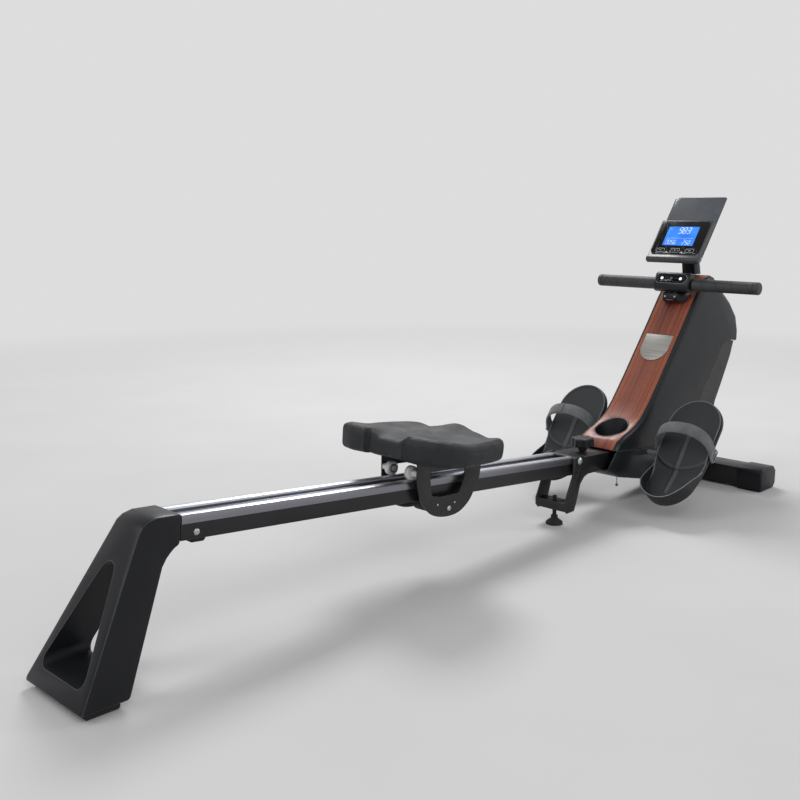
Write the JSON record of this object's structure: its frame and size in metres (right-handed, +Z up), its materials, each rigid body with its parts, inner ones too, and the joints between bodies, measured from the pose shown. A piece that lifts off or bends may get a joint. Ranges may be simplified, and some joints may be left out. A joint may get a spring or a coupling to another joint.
{
  "type": "rowing machine",
  "caption": "Folding magnetic rowing machine: sliding seat on a straight rail, strapped foot plates, pull handle, upright flywheel housing, console and cup holder.",
  "frame": {"origin": "middle of the footprint, on the floor", "axes": "+X from the rear leg towards the flywheel housing, +Y to the rower's left as they face the console, +Z up"},
  "size_m": [2.115, 0.5084, 0.7964],
  "materials": {
    "black_steel": "satin black powder coat",
    "black_plastic": "fine-grained dark grey moulding",
    "smoked_plastic": "smooth smoked sheet",
    "gloss_black": "gloss black",
    "black_rubber": "matt black rubber and foam",
    "seat_cover": "dark grey synthetic leather",
    "rail_aluminium": "bright anodised extrusion",
    "plated_steel": "zinc-plated steel",
    "walnut_panel": "reddish brown straight grain",
    "silver_plate": "satin silver, bare",
    "grey_webbing": "woven strap",
    "white_plastic": "white nylon",
    "cast_iron": "machined cast iron"
  },
  "bodies": {
    "frame": {"main_frame": "black_steel", "fold_bracket": "black_steel", "shell_left": "black_plastic", "shell_right": "black_plastic", "wood_panel": "walnut_panel", "belly_cover": "black_plastic", "cup_holder": "black_plastic", "name_plate": "silver_plate", "stabilizer": "black_steel", "stabilizer_cap_left": "black_plastic", "stabilizer_cap_right": "black_plastic", "flywheel_axle": "plated_steel", "drum_axle": "plated_steel", "handle_cradle": "black_plastic", "pedal_axle": "plated_steel", "pivot_bolt": "plated_steel", "console_neck": "black_plastic", "resistance_motor": "black_plastic", "drive_belt": "black_rubber", "recoil_spring": "black_steel"},
    "rail": {"rail_beam": "black_steel", "rail_track": "rail_aluminium", "hinge_block": "black_steel", "rail_stopper": "black_rubber", "rear_leg": "black_plastic", "leg_pad_left": "black_rubber", "leg_pad_right": "black_rubber"},
    "seat": {"seat_cushion": "seat_cover", "carriage_frame": "black_steel"},
    "handle": {"handle_bar": "black_steel", "grip_left": "black_rubber", "grip_right": "black_rubber", "handle_pod": "black_plastic", "pull_strap": "grey_webbing"},
    "console": {"console_case": "black_plastic", "tablet_plate": "smoked_plastic"},
    "roller_rear_left": {"roller_rear_left": "white_plastic"},
    "roller_rear_right": {"roller_rear_right": "white_plastic"},
    "roller_front_left": {"roller_front_left": "white_plastic"},
    "roller_front_right": {"roller_front_right": "white_plastic"},
    "roller_lower": {"roller_lower": "black_rubber"},
    "pod_button_left": {"pod_button_left": "white_plastic"},
    "pod_button_right": {"pod_button_right": "white_plastic"},
    "flywheel": {"flywheel": "cast_iron"},
    "strap_drum": {"strap_drum": "black_plastic"},
    "magnet_yoke": {"magnet_yoke": "black_steel"},
    "strap_roller": {"strap_roller": "white_plastic"},
    "console_button_left": {"console_button_left": "gloss_black"},
    "console_button_middle": {"console_button_middle": "gloss_black"},
    "console_button_right": {"console_button_right": "gloss_black"},
    "lock_knob": {"lock_knob": "black_plastic"},
    "levelling_foot": {"levelling_foot": "black_rubber"},
    "transport_wheel_left": {"transport_wheel_left": "black_rubber"},
    "transport_wheel_right": {"transport_wheel_right": "black_rubber"},
    "pedal_left": {"foot_plate_left": "black_plastic", "foot_strap_left": "grey_webbing", "buckle_left": "plated_steel"},
    "pedal_right": {"foot_plate_right": "black_plastic", "foot_strap_right": "grey_webbing", "buckle_right": "plated_steel"}
  },
  "joints": [
    {"name": "rail_fold", "type": "hinge", "parent": "frame", "child": "rail", "pos_m": [0.3045, 0, 0.16], "axis": [0, 1, 0], "range_deg": [0, 80]},
    {"name": "seat_slide", "type": "slide", "parent": "rail", "child": "seat", "axis": [0.996, 0, -0.0889], "range_m": [-0.538, 0.34]},
    {"name": "roller_rear_left_spin", "type": "hinge", "parent": "seat", "child": "roller_rear_left", "pos_m": [-0.27293, 0.0285, 0.23714], "axis": [0, 1, 0], "continuous": true},
    {"name": "roller_rear_right_spin", "type": "hinge", "parent": "seat", "child": "roller_rear_right", "pos_m": [-0.27293, -0.0285, 0.23714], "axis": [0, 1, 0], "continuous": true},
    {"name": "roller_front_left_spin", "type": "hinge", "parent": "seat", "child": "roller_front_left", "pos_m": [-0.09165, 0.0285, 0.22096], "axis": [0, 1, 0], "continuous": true},
    {"name": "roller_front_right_spin", "type": "hinge", "parent": "seat", "child": "roller_front_right", "pos_m": [-0.09165, -0.0285, 0.22096], "axis": [0, 1, 0], "continuous": true},
    {"name": "roller_lower_spin", "type": "hinge", "parent": "seat", "child": "roller_lower", "pos_m": [-0.18258, 0, 0.14705], "axis": [0, 1, 0], "continuous": true},
    {"name": "handle_pull", "type": "slide", "parent": "frame", "child": "handle", "axis": [-1, 0, 0], "range_m": [0, 1.1], "stiffness_N_per_m": 8, "springref_m": -1.5, "deforming": ["pull_strap"]},
    {"name": "pod_button_left_press", "type": "slide", "parent": "handle", "child": "pod_button_left", "axis": [0.8886, 0, -0.4588], "range_m": [0, 0.0008], "stiffness_N_per_m": 600, "springref_m": -0.0008},
    {"name": "pod_button_right_press", "type": "slide", "parent": "handle", "child": "pod_button_right", "axis": [0.8886, 0, -0.4588], "range_m": [0, 0.0008], "stiffness_N_per_m": 600, "springref_m": -0.0008},
    {"name": "pedal_left_pivot", "type": "hinge", "parent": "frame", "child": "pedal_left", "pos_m": [0.5925, 0.173, 0.137], "axis": [0, 1, 0], "range_deg": [-20, 30]},
    {"name": "pedal_right_pivot", "type": "hinge", "parent": "frame", "child": "pedal_right", "pos_m": [0.5925, -0.173, 0.137], "axis": [0, 1, 0], "range_deg": [-20, 30]},
    {"name": "flywheel_spin", "type": "hinge", "parent": "frame", "child": "flywheel", "pos_m": [0.7835, 0, 0.294], "axis": [0, 1, 0], "continuous": true},
    {"name": "drum_spin", "type": "hinge", "parent": "frame", "child": "strap_drum", "pos_m": [0.8525, 0, 0.455], "axis": [0, 1, 0], "continuous": true},
    {"name": "strap_roller_spin", "type": "hinge", "parent": "frame", "child": "strap_roller", "pos_m": [0.8675, 0, 0.546], "axis": [0, 1, 0], "continuous": true},
    {"name": "yoke_swing", "type": "hinge", "parent": "frame", "child": "magnet_yoke", "pos_m": [0.74314, 0, 0.18312], "axis": [0, -1, 0], "range_deg": [0, 10]},
    {"name": "console_tilt", "type": "hinge", "parent": "frame", "child": "console", "pos_m": [0.8475, 0, 0.672], "axis": [0, 1, 0], "range_deg": [-10, 20]},
    {"name": "console_button_left_press", "type": "slide", "parent": "console", "child": "console_button_left", "axis": [0.7912, 0, -0.6115], "range_m": [0, 0.0008], "stiffness_N_per_m": 600, "springref_m": -0.0008},
    {"name": "console_button_middle_press", "type": "slide", "parent": "console", "child": "console_button_middle", "axis": [0.7912, 0, -0.6115], "range_m": [0, 0.0008], "stiffness_N_per_m": 600, "springref_m": -0.0008},
    {"name": "console_button_right_press", "type": "slide", "parent": "console", "child": "console_button_right", "axis": [0.7912, 0, -0.6115], "range_m": [0, 0.0008], "stiffness_N_per_m": 600, "springref_m": -0.0008},
    {"name": "knob_turn", "type": "hinge", "parent": "frame", "child": "lock_knob", "pos_m": [0.3785, 0, 0.19], "axis": [0, 0, 1], "range_deg": [0, 1080]},
    {"name": "foot_turn", "type": "hinge", "parent": "frame", "child": "levelling_foot", "pos_m": [0.2665, 0, 0.01], "axis": [0, 0, 1], "range_deg": [-720, 720]},
    {"name": "transport_wheel_left_spin", "type": "hinge", "parent": "frame", "child": "transport_wheel_left", "pos_m": [0.9545, 0.207, 0.0255], "axis": [0, 1, 0], "continuous": true},
    {"name": "transport_wheel_right_spin", "type": "hinge", "parent": "frame", "child": "transport_wheel_right", "pos_m": [0.9545, -0.207, 0.0255], "axis": [0, 1, 0], "continuous": true}
  ],
  "couplings": [
    {"joint": "roller_rear_left_spin", "follows": "seat_slide", "rad_per_m": 66.667},
    {"joint": "roller_rear_right_spin", "follows": "seat_slide", "rad_per_m": 66.667},
    {"joint": "roller_front_left_spin", "follows": "seat_slide", "rad_per_m": 66.667},
    {"joint": "roller_front_right_spin", "follows": "seat_slide", "rad_per_m": 66.667},
    {"joint": "roller_lower_spin", "follows": "seat_slide", "rad_per_m": -52.632},
    {"joint": "drum_spin", "follows": "handle_pull", "rad_per_m": -31.546},
    {"joint": "strap_roller_spin", "follows": "handle_pull", "rad_per_m": -59.88}
  ]
}
